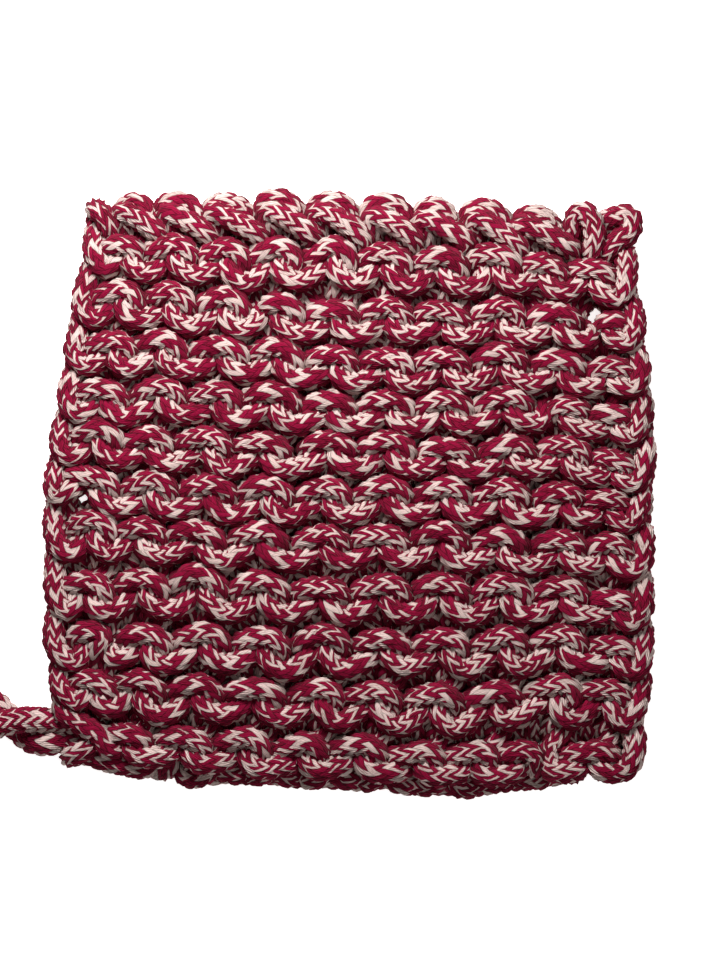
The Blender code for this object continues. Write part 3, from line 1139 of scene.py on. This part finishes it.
@dataclass(frozen=True)
class PotHolder:
    """The whole pot holder: one cord, worked and settled, and made in pieces."""

    loose: float = 0.55  # how unevenly the stitches are drawn
    wander: float = 1.4  # how far the cord is twisted either way, in radians
    plump: tuple[float, float] = (-6.0, 14.0)  # from the loop's ends, where its width changes
    curve_parts: int = 24  # steps between two drawn points
    rest_parts: int = 6  # and between two settled ones
    held: float = 1.0  # how much cord past each of the loop's ends stays as it is drawn
    places: StitchMap = StitchMap()
    settler: CordSettler = CordSettler()
    cast_on: CastOnEdge = CastOnEdge()
    loop: HangingLoop = HangingLoop()
    rows: KnitRows = KnitRows()
    cast_off: CastOffChain = CastOffChain()

    def drawn(self) -> tuple[Array, dict[str, tuple[int, int]]]:
        """Draw the whole cord, before it settles.

        Returns:
            Its points, and the first and last of each piece's points.
        """
        routes: dict[str, Sequence[Point]] = {
            self.cast_on.name: self.cast_on.route(),
            self.loop.name: self.loop.route[::-1],
            **self.rows.routes(),
            self.cast_off.name: self.cast_off.route(),
        }
        points: list[Point] = []
        spans = {}
        for name, own in routes.items():
            spans[name] = (len(points), len(points) + len(own) - 1)
            points.extend(own)
        return np.array(points), spans

    def settled(self) -> RestingCord:
        """Draw the cord a little unevenly, and let all but the hanging loop settle.

        Returns:
            The cord at rest.
        """
        given, spans = self.drawn()
        loop_start, loop_end = spans[self.loop.name]
        draw = np.random.default_rng(SEED)
        uneven = draw.normal(0.0, self.loose, given.shape)
        # The loop stays as it is drawn, and the smoothing takes nothing from it or to it.
        uneven[loop_start - 1 : loop_end + 2] = 0.0
        uneven[1:-1] = (uneven[:-2] + uneven[1:-1] + uneven[2:]) / 2
        uneven[loop_start - 1 : loop_end + 2] = 0.0

        curve = spline(given + uneven, self.curve_parts)
        distance = distance_along(curve)
        places = np.linspace(0, distance[-1], round(distance[-1] / self.settler.step))
        points = points_at(places, distance, curve)
        ends = distance[:: self.curve_parts]
        lengths = {name: (ends[first], ends[last]) for name, (first, last) in spans.items()}
        start, end = lengths[self.loop.name]
        fixed = (places >= start - self.held) & (places <= end + self.held)
        rest = self.settler.settle(
            points, fixed, lambda moved: self.places.keep_inside(moved, KNITTED_WIDTH / 2)
        )
        return RestingCord(rest, places, lengths)

    def course(self, rest: RestingCord, braid: Braid) -> tuple[Course, dict[str, int]]:
        """Lay the braid's rings along the settled cord.

        Args:
            rest: the cord at rest.
            braid: the cord's own make.

        Returns:
            The rings, and the first ring of each piece.
        """
        fine = spline(rest.points, self.rest_parts)
        distance = distance_along(fine)[:: self.rest_parts]
        start, end = rest.spans[self.loop.name]
        from_loop = np.maximum(start - rest.places, rest.places - end)
        girth = np.interp(from_loop, self.plump, (CORD_WIDTH / 2, KNITTED_WIDTH / 2))
        count = np.arange(len(rest.points))
        girth = np.interp(np.arange(len(fine)) / self.rest_parts, count, girth)
        course = Course.through(fine, girth, braid.pitch, self.wander, SEED)
        log.info("the cord is %.2f m long", distance[-1] * MM)

        share = (len(course.centres) - 1) / distance[-1]
        starts = {
            name: round(float(np.interp(span[0], rest.places, distance)) * share)
            for name, span in rest.spans.items()
        }
        return course, starts

    def build(self, braid: Braid, material: Material) -> list[Object]:
        """Make the pieces.

        Args:
            braid: the cord's own make.
            material: its finish.

        Returns:
            The pieces.
        """
        course, starts = self.course(self.settled(), braid)
        ends = [*starts.values(), len(course.centres) - 1][1:]
        pieces = []
        for (name, start), end in zip(starts.items(), ends):
            piece = braid.object(name, course, start, end, material)
            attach(piece, "root")
            if name == self.loop.name:
                self.loop.declare(piece, braid.width, course.centres[start : end + 1])
            else:
                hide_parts("knitted_square")
            log.info("%s: %d faces", name, len(piece.data.polygons))
            pieces.append(piece)
        return pieces


# ---- studio ----


class Softbox(NamedTuple):
    """A square soft light: where it hangs and its side, in metres, and its power, in watts."""

    name: str
    place: Point
    size: float
    power: float


@dataclass(frozen=True)
class Studio:
    """A light table under a soft light, seen from straight above."""

    scale: float = 0.32  # millimetres of the cloth to a pixel of the photograph
    image_width: int = 720
    image_height: int = 960
    cloth_middle_px: tuple[float, float] = (350.5, 493.5)
    camera_height: float = 620.0
    sensor: float = 36.0
    furthest: float = 10.0  # metres that the camera sees
    board_size: float = 3000.0
    softboxes: tuple[Softbox, ...] = (
        Softbox("key_light", (-0.06, 0.24, 0.27), 0.16, 2.65),
        Softbox("fill_light", (0.6, -0.2, 1.5), 1.2, 5.5),
    )
    room_colour: str = "#FFFFFF"
    room_light: float = 0.12

    def camera(self) -> Object:
        """Set up the camera, looking down with the cloth's top edge up."""
        data = bpy.data.cameras.new("camera")
        data.sensor_width = self.sensor
        seen = self.image_height * self.scale
        data.lens = self.sensor * self.camera_height / seen
        data.clip_end = self.furthest
        camera = put_in_scene("camera", data)
        x = (self.image_width / 2 - self.cloth_middle_px[0]) * self.scale
        y = (self.cloth_middle_px[1] - self.image_height / 2) * self.scale
        camera.location = (x * MM, y * MM, (self.camera_height + THICKNESS / 2) * MM)
        bpy.context.scene.camera = camera
        return camera

    def board(self, finish: OpalAcrylic) -> Object:
        """Make the light table that the pot holder lies on.

        Args:
            finish: the table's finish.

        Returns:
            The table's top.
        """
        half = self.board_size / 2 * MM
        corners = [(-half, -half, 0), (half, -half, 0), (half, half, 0), (-half, half, 0)]
        mesh = bpy.data.meshes.new("board")
        mesh.from_pydata(corners, [], [(0, 1, 2, 3)])
        mesh.materials.append(finish.material())
        board = put_in_scene("board", mesh)
        return board

    @staticmethod
    def hang(box: Softbox) -> Object:
        """Hang a soft light, aimed at the cloth.

        Args:
            box: the light.

        Returns:
            The light's object.
        """
        data = bpy.data.lights.new(box.name, "AREA")
        data.size = box.size
        data.energy = box.power
        light = put_in_scene(box.name, data)
        light.location = box.place
        light.rotation_euler = (-Vector(box.place)).to_track_quat("-Z", "Y").to_euler()
        return light

    def lights(self) -> None:
        """Light the scene from close above its top edge, with a weak fill from the other side."""
        for box in self.softboxes:
            self.hang(box)
        world = bpy.data.worlds.new("soft_room")
        world.use_nodes = True
        sky = world.node_tree.nodes["Background"]
        sky.inputs["Color"].default_value = linear(self.room_colour)
        sky.inputs["Strength"].default_value = self.room_light
        bpy.context.scene.world = world
        bpy.context.scene.view_settings.view_transform = "Standard"


def main() -> None:
    """Build the pot holder and the studio round it."""
    logging.basicConfig(level=logging.INFO, format="%(name)s: %(message)s")
    studio = Studio()
    studio.camera()
    cord = MarledCottonCord().material()
    PotHolder().build(Braid(), cord)
    studio.board(OpalAcrylic())
    studio.lights()


if __name__ == "__main__":
    main()
